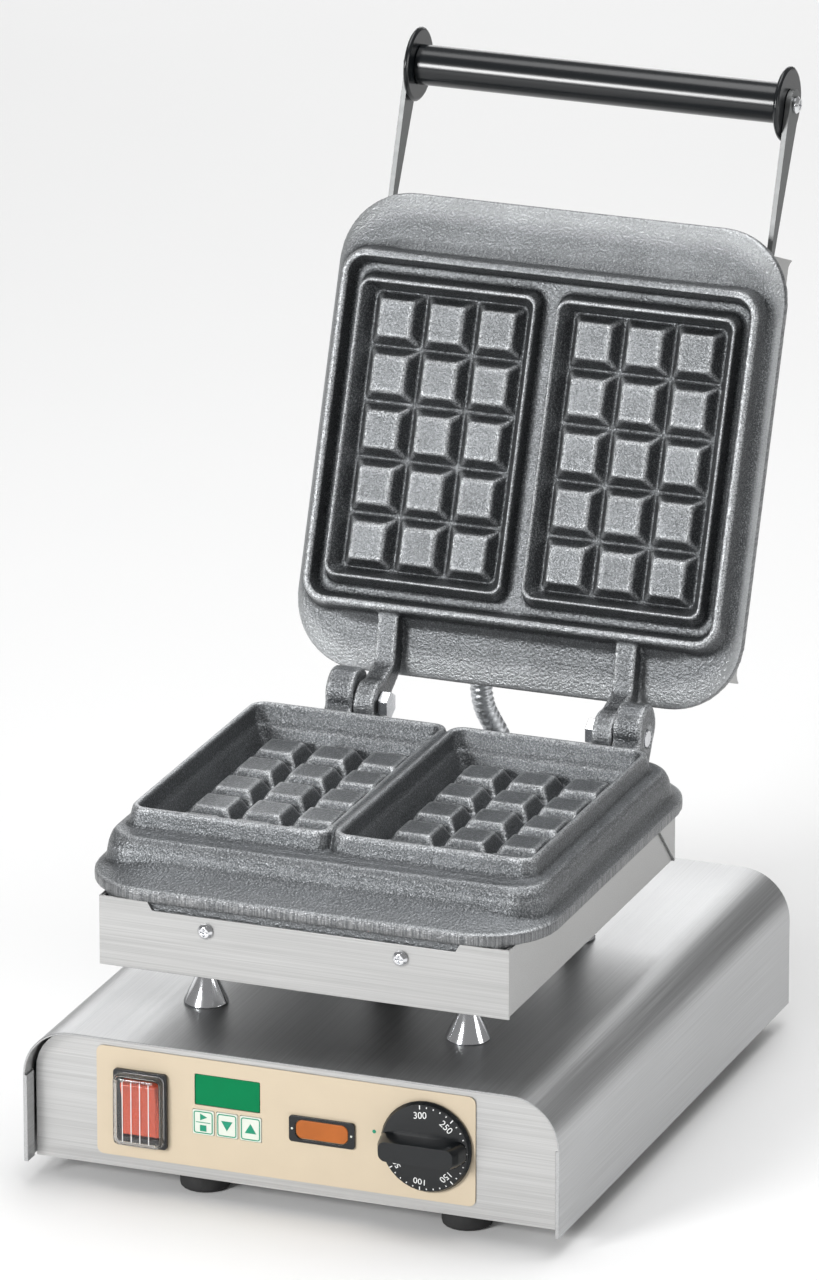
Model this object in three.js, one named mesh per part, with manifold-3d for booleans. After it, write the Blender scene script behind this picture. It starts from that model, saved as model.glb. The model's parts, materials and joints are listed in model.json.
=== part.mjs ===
// A double waffle maker: a steel base with its controls, a cast lower plate on a raised housing, and a
// hinged cast upper plate under a steel hood with a bar handle. Millimetres, +Z up, +Y to the back.
import * as THREE from "three";
import { mergeVertices } from "three/addons/utils/BufferGeometryUtils.js";
import Module from "manifold-3d";

const wasm = await Module();
wasm.setup();

// ---- driving dimensions ----
const SHEET = 1.2;
const GAP = 0.3;

const COVER_WIDTH = 320;
const COVER_DEPTH = 385;
const COVER_BOTTOM = 12;
const COVER_TOP = 93;
const COVER_RADIUS = 29;
const HEM_DEPTH = 10;
const PANEL_Y = 12;
const PANEL_BOTTOM = 12;
const FLOOR_BOTTOM = 17;
const FOIL_BACK = PANEL_Y - GAP;
const FOIL_FRONT = FOIL_BACK - 0.6;
const FRONT_FEET_Y = 32;
const INLET = { x: -110, z: 48 };

const HOUSING_HALF_WIDTH = 122;
const HOUSING_FRONT = 22;
const HOUSING_BACK = 292;
const HOUSING_BOTTOM = 128;
const HOUSING_RETURN = 40;
const HOOD_HINGE_END = -120;
const HOOD_HANDLE_END = 127;
const SCREW_X = 58;
const SCREW_LEVEL = -41;

const PARTING_Z = 197;
const PLATE_Y = 157.5;
const CLOSED_GAP = 0.4;
const FLANGE = { halfX: 137, halfY: 139.5, radius: 42, top: -20.5, bottom: -27.5 };
const WALL_TOP = FLANGE.bottom - 0.5;
const TRAY_DEPTH = HOUSING_BOTTOM - PARTING_Z;
const HOUSING_ENDS = [HOUSING_FRONT - PLATE_Y, HOUSING_BACK - PLATE_Y];
const HOOD_ENDS = [HOOD_HINGE_END, HOOD_HANDLE_END];
const POCKET_X = 61;
const POCKET_DEPTH = 13;
const RIM_HEIGHT = 11;
const STUD_PITCH_X = 31.4;
const STUD_PITCH_Y = 32.5;
const STUD_TOP = -3.5;

const HINGE_Y = 315;
const HINGE_Z = 191;
const OPEN_ANGLE = THREE.MathUtils.degToRad(110.5);
const EAR_RADIUS = 14;
const EAR_RISE = 6;
const BOLT_RADIUS = 5;

const GRIP_REACH = 215.5;
const GRIP_LEVEL = -48;
const GRIP_RADIUS = 11.9;
const GRIP_HALF = 112;
const ARM = { inner: 115.9, thick: 3, halfWidth: 9, root: 84 };

const CONDUIT = { lowerX: 8, lowerZ: 150, upperX: -29, upperLevel: -51, radius: 7 };
const GLAND_RADIUS = 8.6;

const DIAL = { x: 78, z: 51.5 };
const SWITCH = { x: -93, z: 49.5 };
const KEYS = { x: -41.4, z: 46.3, pitch: 14.2 };
const DISPLAY = { x: -41.2, z: 65.6 };
const BADGE = { x: 15.7, z: 51 };
const ROCKER_PIVOT_Y = 14;
const ROCKER_TILT = THREE.MathUtils.degToRad(7);

// ---- materials ----
function paint(color, roughness, metalness) {
  return new THREE.MeshStandardMaterial({ color, roughness, metalness });
}

const STEEL = paint(0xc4c6c8, 0.35, 1);
const IRON = paint(0x6b7074, 0.62, 0.6);
const CHROME = paint(0xe3e5e8, 0.12, 1);
const ZINC = paint(0xb4b9bf, 0.4, 1);
const COPPER = paint(0xb87350, 0.35, 1);
const RUBBER = paint(0x1d1d1f, 0.85, 0);
const BLACK = paint(0x2b3135, 0.25, 0);
const CREAM = paint(0xe3d2b6, 0.5, 0);
const GREEN = paint(0x00945c, 0.2, 0);
const WHITE = paint(0xe9ece6, 0.5, 0);
const RED = paint(0xe05a38, 0.3, 0);
const CLEAR = paint(0xdfe6ea, 0.15, 0);
const AMBER = paint(0xc2683a, 0.4, 0);
const BOARD = paint(0x1f5b3c, 0.6, 0);

// ---- helpers ----
function toSolid(geometry) {
  const bare = geometry.clone();
  bare.deleteAttribute("normal");
  bare.deleteAttribute("uv");
  const merged = mergeVertices(bare, 1e-4);
  return new wasm.Manifold(new wasm.Mesh({
    numProp: 3,
    vertProperties: new Float32Array(merged.attributes.position.array),
    triVerts: new Uint32Array(merged.index.array),
  }));
}

function toGeometry(solid) {
  const mesh = solid.getMesh();
  const geometry = new THREE.BufferGeometry();
  geometry.setAttribute("position", new THREE.BufferAttribute(mesh.vertProperties, 3));
  geometry.setIndex(new THREE.BufferAttribute(mesh.triVerts, 1));
  geometry.computeVertexNormals();
  return geometry;
}

function join(...geometries) {
  return toGeometry(geometries.map(toSolid).reduce((sum, next) => sum.add(next)));
}

function cut(geometry, ...tools) {
  return toGeometry(tools.map(toSolid).reduce((rest, tool) => rest.subtract(tool), toSolid(geometry)));
}

function roundedRectangle(halfX, halfY, radius, x = 0, y = 0) {
  const shape = new THREE.Shape();
  const quarter = Math.PI / 2;
  shape.absarc(x + halfX - radius, y - halfY + radius, radius, -quarter, 0);
  shape.absarc(x + halfX - radius, y + halfY - radius, radius, 0, quarter);
  shape.absarc(x - halfX + radius, y + halfY - radius, radius, quarter, 2 * quarter);
  shape.absarc(x - halfX + radius, y - halfY + radius, radius, 2 * quarter, 3 * quarter);
  shape.closePath();
  return shape;
}

function circleShape(x, y, radius) {
  const shape = new THREE.Shape();
  shape.absarc(x, y, radius, 0, 2 * Math.PI);
  return shape;
}

function polygon(points) {
  return new THREE.Shape(points.map(([x, y]) => new THREE.Vector2(x, y)));
}

// A shape drawn in X and Y, standing from z0 to z1.
function extrudeZ(shape, z0, z1, segments = 5) {
  const options = { depth: z1 - z0, bevelEnabled: false, curveSegments: segments };
  return new THREE.ExtrudeGeometry(shape, options).translate(0, 0, z0);
}

// A shape drawn in X and Z, standing from y0 to y1.
function extrudeY(shape, y0, y1, segments = 5) {
  return extrudeZ(shape, -y1, -y0, segments).rotateX(Math.PI / 2);
}

// A shape drawn in Y and Z, standing from x0 to x1.
function extrudeX(shape, x0, x1, segments = 5) {
  const turn = new THREE.Matrix4().makeBasis(
    new THREE.Vector3(0, 1, 0), new THREE.Vector3(0, 0, 1), new THREE.Vector3(1, 0, 0));
  return extrudeZ(shape, x0, x1, segments).applyMatrix4(turn);
}

// A rounded block whose half width and half length change from level to level: [z, halfX, halfY].
function tapered(levels, radius, x = 0, y = 0, segments = 4) {
  const [, baseX, baseY] = levels[0];
  const steps = levels.length - 1;
  const options = { depth: steps, steps, bevelEnabled: false, curveSegments: segments };
  const geometry = new THREE.ExtrudeGeometry(roundedRectangle(baseX, baseY, radius), options);
  const position = geometry.attributes.position;
  for (let i = 0; i < position.count; i += 1) {
    const [z, halfX, halfY] = levels[Math.round(position.getZ(i))];
    position.setXYZ(i, position.getX(i) * halfX / baseX + x, position.getY(i) * halfY / baseY + y, z);
  }
  return geometry;
}

function rod(radius, x0, x1, y, z, sides = 16) {
  return new THREE.CylinderGeometry(radius, radius, x1 - x0, sides)
    .rotateZ(-Math.PI / 2).translate((x0 + x1) / 2, y, z);
}

function pinY(radius, y0, y1, x, z, sides = 16) {
  return new THREE.CylinderGeometry(radius, radius, y1 - y0, sides).translate(x, (y0 + y1) / 2, z);
}

function box(x0, x1, y0, y1, z0, z1) {
  return new THREE.BoxGeometry(x1 - x0, y1 - y0, z1 - z0)
    .translate((x0 + x1) / 2, (y0 + y1) / 2, (z0 + z1) / 2);
}

// A turned piece: [radius, height] from the axis round to the axis, standing on +Z.
function turned(profile, sides = 20) {
  const outline = profile.map(([r, h]) => new THREE.Vector2(r, h));
  return new THREE.LatheGeometry(outline, sides).rotateX(Math.PI / 2);
}

function tube(points, radius, sides, steps) {
  const path = new THREE.CatmullRomCurve3(points.map((p) => new THREE.Vector3(...p)));
  const section = new THREE.Shape();
  for (let i = 0; i < sides; i += 1) {
    const angle = 2 * Math.PI * i / sides;
    section[i ? "lineTo" : "moveTo"](radius * Math.cos(angle), radius * Math.sin(angle));
  }
  return new THREE.ExtrudeGeometry(section, { extrudePath: path, steps, bevelEnabled: false });
}

const model = new THREE.Group();
const lid = new THREE.Group();
const lidPlate = new THREE.Group();

function add(parent, name, geometry, material) {
  const mesh = new THREE.Mesh(geometry, material);
  mesh.name = name;
  parent.add(mesh);
  return mesh;
}

// ---- base cover: one sheet folded over the top and both sides, hemmed at the front and back edges ----
function coverOutline(inset) {
  const half = COVER_WIDTH / 2 - inset;
  const top = COVER_TOP - inset;
  const radius = COVER_RADIUS - inset;
  return { half, top, radius };
}

function coverSheet() {
  const outer = coverOutline(0);
  const inner = coverOutline(SHEET);
  const shape = new THREE.Shape();
  shape.moveTo(-outer.half, COVER_BOTTOM);
  shape.lineTo(-inner.half, COVER_BOTTOM);
  const [bendX, bendZ] = [inner.half - inner.radius, inner.top - inner.radius];
  shape.absarc(-bendX, bendZ, inner.radius, Math.PI, Math.PI / 2, true);
  shape.absarc(bendX, bendZ, inner.radius, Math.PI / 2, 0, true);
  shape.lineTo(inner.half, COVER_BOTTOM);
  shape.lineTo(outer.half, COVER_BOTTOM);
  shape.absarc(bendX, bendZ, outer.radius, 0, Math.PI / 2);
  shape.absarc(-bendX, bendZ, outer.radius, Math.PI / 2, Math.PI);
  return extrudeY(shape, 0, COVER_DEPTH, 8);
}

function baseCover() {
  const hemTop = COVER_TOP - COVER_RADIUS;
  const hems = [];
  for (const side of [-1, 1]) {
    for (const [y0, y1] of [[0, HEM_DEPTH], [COVER_DEPTH - HEM_DEPTH, COVER_DEPTH]]) {
      const x = side * (COVER_WIDTH / 2 - 1.5 * SHEET);
      hems.push(box(x - SHEET / 2 - 0.1, x + SHEET / 2 + 0.1, y0, y1, COVER_BOTTOM, hemTop));
    }
  }
  const leadHole = new THREE.CylinderGeometry(12, 12, 10, 20).rotateX(Math.PI / 2);
  return cut(join(coverSheet(), ...hems), leadHole.translate(0, PLATE_Y, COVER_TOP));
}

// The front and rear panels stand inside the cover, behind its hems.
function panelShape() {
  const { half, top, radius } = coverOutline(2 * SHEET + 2 * GAP);
  const shape = new THREE.Shape();
  shape.moveTo(-half, PANEL_BOTTOM);
  shape.lineTo(half, PANEL_BOTTOM);
  shape.absarc(half - radius, top - radius, radius, 0, Math.PI / 2);
  shape.absarc(-half + radius, top - radius, radius, Math.PI / 2, Math.PI);
  shape.closePath();
  return shape;
}

function frontPanel() {
  const shape = panelShape();
  shape.holes.push(roundedRectangle(14.3, 20.3, 1, SWITCH.x, SWITCH.z));
  shape.holes.push(roundedRectangle(19.7, 9.3, 1, DISPLAY.x, DISPLAY.z));
  shape.holes.push(roundedRectangle(21.6, 7.7, 1, KEYS.x, KEYS.z));
  shape.holes.push(circleShape(DIAL.x, DIAL.z, 4.5));
  return extrudeY(shape, PANEL_Y, PANEL_Y + SHEET, 4);
}

function rearPanel() {
  const shape = panelShape();
  shape.holes.push(roundedRectangle(14.3, 10.3, 1.5, INLET.x, INLET.z));
  for (let i = 0; i < 7; i += 1) {
    shape.holes.push(roundedRectangle(2, 16, 1.9, 40 + 12 * i, 50));
  }
  return extrudeY(shape, COVER_DEPTH - PANEL_Y - SHEET, COVER_DEPTH - PANEL_Y, 3);
}

function basePlate() {
  const half = COVER_WIDTH / 2 - 2 * SHEET - 3 * GAP;
  const front = PANEL_Y + SHEET + GAP;
  const back = COVER_DEPTH - front;
  const floor = box(-half, half, front, back, FLOOR_BOTTOM, FLOOR_BOTTOM + SHEET);
  const lips = [-1, 1].map((side) => {
    const x = side * (half - SHEET / 2);
    return box(x - SHEET / 2, x + SHEET / 2, front, back, FLOOR_BOTTOM, FLOOR_BOTTOM + 12);
  });
  return join(floor, ...lips);
}

function addBase() {
  add(model, "base_cover", baseCover(), STEEL);
  add(model, "front_panel", frontPanel(), STEEL);
  add(model, "rear_panel", rearPanel(), STEEL);
  add(model, "base_plate", basePlate(), STEEL);
  const top = FLOOR_BOTTOM - GAP;
  const foot = [[0, 0], [13, 0], [14.5, 1.5], [14.5, 11], [13.5, top], [0, top]];
  for (const [place, y] of [["front", FRONT_FEET_Y], ["rear", COVER_DEPTH - FRONT_FEET_Y]]) {
    for (const [side, x] of [["left", -63], ["right", 94]]) {
      add(model, `foot_${place}_${side}`, turned(foot), RUBBER).position.set(x, y, 0);
    }
  }
}

// ---- controls on the front panel ----
function overlay() {
  const shape = roundedRectangle(113.2, 32.5, 4, -6.7, 51.5);
  shape.holes.push(roundedRectangle(14.3, 20.3, 1, SWITCH.x, SWITCH.z));
  shape.holes.push(roundedRectangle(19.7, 9.3, 1, DISPLAY.x, DISPLAY.z));
  shape.holes.push(circleShape(DIAL.x, DIAL.z, 4.5));
  for (const i of [-1, 0, 1]) {
    shape.holes.push(roundedRectangle(6.7, 7.6, 1.2, KEYS.x + i * KEYS.pitch, KEYS.z));
  }
  return extrudeY(shape, FOIL_FRONT, FOIL_BACK, 3);
}

// A key's cap sits flush in the foil; its stem reaches back to the push button on the board.
function keyCap(i) {
  const x = KEYS.x + i * KEYS.pitch;
  const cap = extrudeY(roundedRectangle(6.4, 7.3, 1, x, KEYS.z), FOIL_FRONT - 0.5, FOIL_BACK + 0.6);
  return join(cap, pinY(2, FOIL_BACK, 16.6, x, KEYS.z));
}

function timerBoard() {
  const board = box(KEYS.x - 30, KEYS.x + 30, 18.6, 20.2, 28, 86);
  const buttons = [-1, 0, 1].map((i) => pinY(1.7, 17.2, 19, KEYS.x + i * KEYS.pitch, KEYS.z, 12));
  const digits = box(DISPLAY.x - 16, DISPLAY.x + 16, 14.6, 19, DISPLAY.z - 7, DISPLAY.z + 7);
  return join(board, digits, ...buttons);
}

function switchHousing() {
  const back = FOIL_FRONT - GAP;
  const rim = extrudeY(roundedRectangle(16, 22.5, 2, SWITCH.x, SWITCH.z), back - 2.2, back);
  const body = extrudeY(roundedRectangle(14, 20, 0.8, SWITCH.x, SWITCH.z), back - 1, 33);
  const mouth = box(SWITCH.x - 11.3, SWITCH.x + 11.3, 0, 22.5, SWITCH.z - 17.3, SWITCH.z + 17.3);
  return cut(join(rim, body), mouth);
}

// The rocker is drawn level about its pivot and then tipped to its off side.
function rocker() {
  const side = [[5, -15.6], [5, 15.6], [-5, 16.2], [-6.4, 15.4], [-4.2, 0], [-6.4, -15.4], [-5, -16.2]];
  return extrudeX(polygon(side), -10.8, 10.8);
}

function splashCap() {
  const back = FOIL_FRONT - GAP - 2.2 - GAP;
  const shell = tapered([[0, 15, 21.5], [4.4, 14.4, 20.9], [6.2, 12.8, 19.2]], 4);
  const hollow = tapered([[-1, 13.6, 20], [3.8, 13.2, 19.6], [5, 11.8, 18.2]], 3);
  return cut(shell, hollow).rotateX(Math.PI / 2).translate(SWITCH.x, back, SWITCH.z);
}

function badgeFrame() {
  const shape = roundedRectangle(19.6, 7.8, 2, BADGE.x, BADGE.z);
  shape.holes.push(roundedRectangle(15.9, 5.9, 4.4, BADGE.x, BADGE.z));
  return extrudeY(shape, FOIL_FRONT - GAP - 1.2, FOIL_FRONT - GAP, 6);
}

// The knob: a skirt with a bar grip across it, level while its pointer end is at the left.
function knob() {
  const back = FOIL_FRONT - 0.6;
  const skirt = turned([[0, 0], [26.8, 0], [27, 1.2], [25.6, 3.4], [17, 5.2], [0, 5.4]], 36);
  const bar = tapered([[4, 25.6, 7], [12, 24, 6.4], [16.5, 22, 5.8]], 5, -0.8, 0);
  const bore = new THREE.CylinderGeometry(3.3, 3.3, 20, 16).rotateX(Math.PI / 2).translate(0, 0, 1);
  return cut(join(skirt, bar), bore).rotateX(Math.PI / 2).translate(0, back, 0);
}

function addControls() {
  add(model, "control_overlay", overlay(), CREAM);
  const glass = roundedRectangle(19.3, 8.9, 0.8, DISPLAY.x, DISPLAY.z);
  add(model, "display_window", extrudeY(glass, FOIL_FRONT + 0.1, PANEL_Y + SHEET), GREEN);
  ["key_start_stop", "key_down", "key_up"].forEach((name, i) => add(model, name, keyCap(i - 1), WHITE));
  add(model, "timer_board", timerBoard(), BOARD);
  add(model, "switch_housing", switchHousing(), BLACK);
  const rockerMesh = add(model, "switch_rocker", rocker(), RED);
  rockerMesh.position.set(SWITCH.x, ROCKER_PIVOT_Y, SWITCH.z);
  rockerMesh.rotation.x = ROCKER_TILT;
  add(model, "switch_splash_cap", splashCap(), CLEAR);
  add(model, "badge_frame", badgeFrame(), BLACK);
  const inlay = roundedRectangle(15.5, 5.5, 4, BADGE.x, BADGE.z);
  add(model, "badge_inlay", extrudeY(inlay, FOIL_FRONT - GAP - 0.8, FOIL_FRONT - GAP, 6), AMBER);

  const dial = new THREE.Group();
  dial.position.set(DIAL.x, 0, DIAL.z);
  model.add(dial);
  add(dial, "thermostat_knob", knob(), BLACK);
  add(dial, "thermostat_shaft", pinY(3, -0.2, 24.6, 0, 0), ZINC);
  add(model, "thermostat_body", thermostatBody(), ZINC);
  add(model, "thermostat_capillary", capillary(), COPPER);
}

function thermostatBody() {
  const body = box(DIAL.x - 20, DIAL.x + 20, 16.5, 44, DIAL.z - 19, DIAL.z + 19);
  const bushing = pinY(4, PANEL_Y + SHEET + GAP, 18, DIAL.x, DIAL.z);
  return cut(join(body, bushing), pinY(3.3, 0, 26, DIAL.x, DIAL.z));
}

// The thermostat's thin tube runs up through the lead sleeve to the underside of the lower plate.
function capillary() {
  const route = [[60, 44.3, 60], [55, 70, 64], [30, 110, 62], [5, PLATE_Y - 12, 66], [3, PLATE_Y, 84],
    [3, PLATE_Y, 120], [4, PLATE_Y, 150], [10, PLATE_Y, 165], [14, PLATE_Y, 171]];
  return tube(route, 1.3, 6, 24);
}

// ---- supply inlet and wiring inside the base ----
function inletSocket() {
  const y = COVER_DEPTH - PANEL_Y;
  const flange = extrudeY(roundedRectangle(24, 14, 4, INLET.x, INLET.z), y + GAP, y + GAP + 2.6);
  const body = extrudeY(roundedRectangle(14, 10, 1.2, INLET.x, INLET.z), y - 20, y + GAP + 1);
  const mouth = extrudeY(roundedRectangle(12, 8, 1.5, INLET.x, INLET.z), y - 17, y + 6);
  const pins = [[-7, 1], [0, -2], [7, 1]].map(([x, z]) => {
    return box(INLET.x + x - 1, INLET.x + x + 1, y - 18, y - 5, INLET.z + z - 2, INLET.z + z + 2);
  });
  return join(cut(join(flange, body), mouth), ...pins);
}

function addSupply() {
  add(model, "supply_inlet", inletSocket(), BLACK);
  const floor = FLOOR_BOTTOM + SHEET + GAP;
  const foot = box(-140, -80, 300, 322, floor, floor + 12);
  const block = join(foot, box(-134, -86, 305, 317, floor + 11, floor + 18));
  add(model, "terminal_block", block, BLACK);
  const sleeve = turned([[8, 0], [11, 0], [11, 42], [8, 42], [8, 0]], 20);
  add(model, "lead_sleeve", sleeve, RUBBER).position.set(0, PLATE_Y, COVER_TOP - 2);
}

// ---- castings: both plates share one envelope, drawn with z = 0 on the parting face ----
function flangeBody(wallFoot) {
  const { halfX, halfY, radius, top, bottom } = FLANGE;
  const edge = extrudeZ(roundedRectangle(halfX, halfY, radius), bottom, top, 6);
  const slope = tapered([[top - 1, halfX, halfY], [top, halfX, halfY], [-18, halfX - 2.5, halfY - 9],
    [-14.5, wallFoot.halfX + 1.4, wallFoot.halfY + 4],
    [-11, wallFoot.halfX, wallFoot.halfY]], radius, 0, 0, 6);
  return join(edge, slope);
}

// A four-sided stud, a little longer than wide, from its foot to its top: [z, half width].
function stud(foot, top, x, y) {
  const profile = [[foot[0], 0], foot, top, [top[0], 0]];
  const outline = profile.map(([z, half]) => new THREE.Vector2(half * Math.SQRT2, z));
  return new THREE.LatheGeometry(outline, 4, Math.PI / 4).rotateX(Math.PI / 2)
    .scale(1, STUD_PITCH_Y / STUD_PITCH_X, 1).translate(x, y, 0);
}

function studs() {
  const foot = [-POCKET_DEPTH - 0.4, STUD_PITCH_X / 2 - 0.6];
  const top = [STUD_TOP, STUD_PITCH_X / 2 - 5.6];
  const list = [];
  for (const side of [-1, 1]) {
    for (let i = -1; i <= 1; i += 1) {
      for (let j = -2; j <= 2; j += 1) {
        list.push(stud(foot, top, side * POCKET_X + i * STUD_PITCH_X, j * STUD_PITCH_Y));
      }
    }
  }
  return list;
}

// The hollow behind the pockets, where the heating element lies.
function heaterRecess() {
  return tapered([[FLANGE.bottom - 1, 112, 92], [-21, 108, 88]], 10);
}

// A wall under the flange, just inside the housing whose two end panels stand at the given places.
function skirt([first, last]) {
  const half = (last - first) / 2 - SHEET - 2 * GAP;
  const y = (first + last) / 2;
  const ring = extrudeZ(roundedRectangle(119.2, half, 6, 0, y), -38, FLANGE.bottom + 1, 3);
  const inside = extrudeZ(roundedRectangle(114, half - 5, 4, 0, y), -39, FLANGE.bottom + 2, 3);
  return cut(ring, inside);
}

function screwBosses(ends) {
  return [-1, 1].flatMap((side) => ends.map((end) => {
    const face = end - Math.sign(end) * (SHEET + 2 * GAP);
    const [y0, y1] = [face, face - Math.sign(end) * 9].sort((a, b) => a - b);
    return box(side * SCREW_X - 8, side * SCREW_X + 8, y0, y1, -47, FLANGE.bottom + 1);
  }));
}

function screwHoles(ends) {
  return [-1, 1].flatMap((side) => ends.map((end) => {
    return pinY(2.4, end - 15, end + 15, side * SCREW_X, SCREW_LEVEL, 12);
  }));
}

// An ear for the hinge bolt, drawn in the plate's own Y and Z: a round eye on a web.
function ear(x0, x1, y, z, web) {
  return join(extrudeX(circleShape(y, z, EAR_RADIUS), x0, x1, 10), extrudeX(polygon(web), x0, x1));
}

function lowerPlate() {
  const wall = tapered([[-16, 132, 117], [-8, 131, 115.5], [-3.5, 129.8, 113], [-1, 128, 110],
    [-0.6, 125.4, 103], [0, 125, 102.4]], 20);
  const rim = [[-3, 62, 98.6], [0, 61.7, 98], [10.2, 59.9, 95.9], [RIM_HEIGHT, 59.4, 95.2]];
  const rims = [-1, 1].map((side) => tapered(rim, 9, side * (POCKET_X - 0.2), 0, 3));
  const trays = [-1, 1].map((side) => join(
    tapered([[0, 55, 87.5], [10.4, 56.6, 92.2], [RIM_HEIGHT + 1, 57.1, 93.2]], 6, side * POCKET_X, 0, 3),
    tapered([[-POCKET_DEPTH, 47.1, 81.2], [0.5, 54.1, 86.4]], 4, side * POCKET_X, 0, 3)));
  const boltY = HINGE_Y - PLATE_Y;
  const boltZ = HINGE_Z - PARTING_Z;
  const eyeZ = boltZ + EAR_RISE;
  const web = [[130, FLANGE.bottom], [158, FLANGE.bottom], [boltY + EAR_RADIUS - 1, eyeZ - 4],
    [boltY, eyeZ + 4], [boltY - EAR_RADIUS + 1, eyeZ - 4], [132, FLANGE.top + 2]];
  const ears = [ear(-97, -80, boltY, eyeZ, web), ear(80, 97, boltY, eyeZ, web)];
  const body = cut(join(flangeBody({ halfX: 131, halfY: 116 }), wall, ...rims), ...trays, heaterRecess());
  return cut(join(body, ...studs(), skirt(HOUSING_ENDS), ...screwBosses(HOUSING_ENDS), ...ears),
    rod(BOLT_RADIUS + GAP, -110, 110, boltY, boltZ), ...screwHoles(HOUSING_ENDS));
}

// The upper plate has a groove for the lower rims round its pockets. Its outer ridge meets the ledge.
function upperPlate() {
  const wall = tapered([[-16, 130.6, 106.6], [-4, 128.6, 104.4], [-1, 128, 103.4], [0, 127, 102.4]], 16);
  const groove = tapered([[-12, 121.8, 96.7], [0, 124, 99.3], [1, 124.2, 99.5]], 10, 0, 0, 3);
  const islands = [-1, 1].map((side) => tapered([[-12.5, 55.8, 91.3], [-0.6, 54.6, 86.8], [0, 54.2, 86.4]],
    7, side * POCKET_X, 0, 3));
  const pockets = [-1, 1].map((side) => tapered([[-POCKET_DEPTH, 47.1, 81.2], [0, 53.5, 85.7], [1, 54, 86.1]],
    5, side * POCKET_X, 0, 3));
  const boltY = PLATE_Y - HINGE_Y;
  const boltZ = PARTING_Z + CLOSED_GAP - HINGE_Z;
  const rib = [[-104, -22], [-104, -2.5], [-134, -6], [boltY + 5, boltZ + EAR_RADIUS - 1.5],
    [boltY - 5, boltZ - 6], [boltY + 4, boltZ - EAR_RADIUS + 0.5], [-132, -24]];
  const arms = [ear(-79.5, -67, boltY, boltZ, rib), ear(67, 79.5, boltY, boltZ, rib)];
  const body = cut(join(flangeBody({ halfX: 129.6, halfY: 107 }), wall), groove);
  const dished = cut(join(body, ...islands), ...pockets, heaterRecess());
  const heels = [-1, 1].map((side) => {
    const reach = 14;
    const angle = THREE.MathUtils.degToRad(162.5);
    const middle = [boltY + reach * Math.cos(angle), boltZ + reach * Math.sin(angle)];
    return rod(5.6, side * 73.25 - 6.25, side * 73.25 + 6.25, ...middle);
  });
  return cut(join(dished, ...studs(), skirt(HOOD_ENDS), ...screwBosses(HOOD_ENDS), ...arms, ...heels),
    rod(BOLT_RADIUS + GAP, -110, 110, boltY, boltZ), ...screwHoles(HOOD_ENDS));
}

// ---- sheet housing: a tray with two end panels, the same under the lower plate and over the upper ----
function trayShape() {
  const half = HOUSING_HALF_WIDTH - SHEET - GAP;
  return polygon([[-half, WALL_TOP], [-half, TRAY_DEPTH], [half, TRAY_DEPTH], [half, WALL_TOP],
    [half - SHEET, WALL_TOP], [half - SHEET, TRAY_DEPTH + SHEET], [-half + SHEET, TRAY_DEPTH + SHEET],
    [-half + SHEET, WALL_TOP]]);
}

function tray([first, last], ...holes) {
  const sheet = extrudeY(trayShape(), first + SHEET + GAP, last - SHEET - GAP);
  return holes.length ? cut(sheet, ...holes) : sheet;
}

// An end panel: lowered in the middle along its top edge, with a three-cornered return along each side.
function endPanel(outside, holes) {
  const end = Math.sign(outside);
  const inside = outside - end * SHEET;
  const half = HOUSING_HALF_WIDTH;
  const shape = new THREE.Shape();
  shape.moveTo(-half, TRAY_DEPTH);
  shape.lineTo(half, TRAY_DEPTH);
  shape.lineTo(half, WALL_TOP);
  for (const side of [1, -1]) {
    const steps = [[side * 93, WALL_TOP], [side * 90, WALL_TOP - 5]];
    (side > 0 ? steps : steps.reverse()).forEach(([x, z]) => shape.lineTo(x, z));
  }
  shape.lineTo(-half, WALL_TOP);
  holes.forEach((hole) => shape.holes.push(hole));
  const plate = extrudeY(shape, Math.min(outside, inside), Math.max(outside, inside));
  const returns = [-1, 1].map((side) => {
    const tip = outside - end * HOUSING_RETURN;
    const edge = polygon([[outside, TRAY_DEPTH], [outside, WALL_TOP], [tip, WALL_TOP]]);
    const x = side * (half - SHEET / 2);
    return extrudeX(edge, x - SHEET / 2, x + SHEET / 2);
  });
  return join(plate, ...returns);
}

const screwClearance = () => [-1, 1].map((side) => circleShape(side * SCREW_X, SCREW_LEVEL, 2.6));

// A pan-head screw along Y; end is -1 at the front and 1 at the back.
function panScrew(end) {
  const head = turned([[0, -12], [2.1, -12], [2.1, GAP], [4.6, GAP], [4.6, 1.4], [3, 3.2], [0, 3.4]], 12);
  const slot = join(box(-2.3, 2.3, -0.45, 0.45, 2, 5), box(-0.45, 0.45, -2.3, 2.3, 2, 5));
  return cut(head, slot).rotateX(end < 0 ? Math.PI / 2 : -Math.PI / 2);
}

function addScrews(parent, prefix, ends) {
  for (const y of ends) {
    for (const side of [-1, 1]) {
      const name = `${prefix}_screw_${y < 0 ? "front" : "rear"}_${side < 0 ? "left" : "right"}`;
      add(parent, name, panScrew(Math.sign(y)), CHROME).position.set(side * SCREW_X, y, SCREW_LEVEL);
    }
  }
}

// The sheathed heating element lies in loops in the plate's recess.
function element() {
  const half = [[-30, -80], [-95, -78], [-100, -60], [-96, -10], [-60, -2], [-22, 0], [-22, 30], [-60, 38],
    [-96, 44], [-96, 76], [-40, 82]];
  const route = [...half, ...half.map(([x, y]) => [-x, y]).reverse()];
  return tube(route.map(([x, y]) => [x, y, -26.5]), 4, 6, 54);
}

function hingeBolt(side) {
  const shank = rod(BOLT_RADIUS, -15.4, 15, 0, 0);
  const head = new THREE.CylinderGeometry(8.2, 8.2, 6, 6).rotateZ(-Math.PI / 2).translate(-18.2, 0, 0);
  const bolt = join(shank, head);
  return side < 0 ? bolt.rotateZ(Math.PI) : bolt;
}

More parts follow.
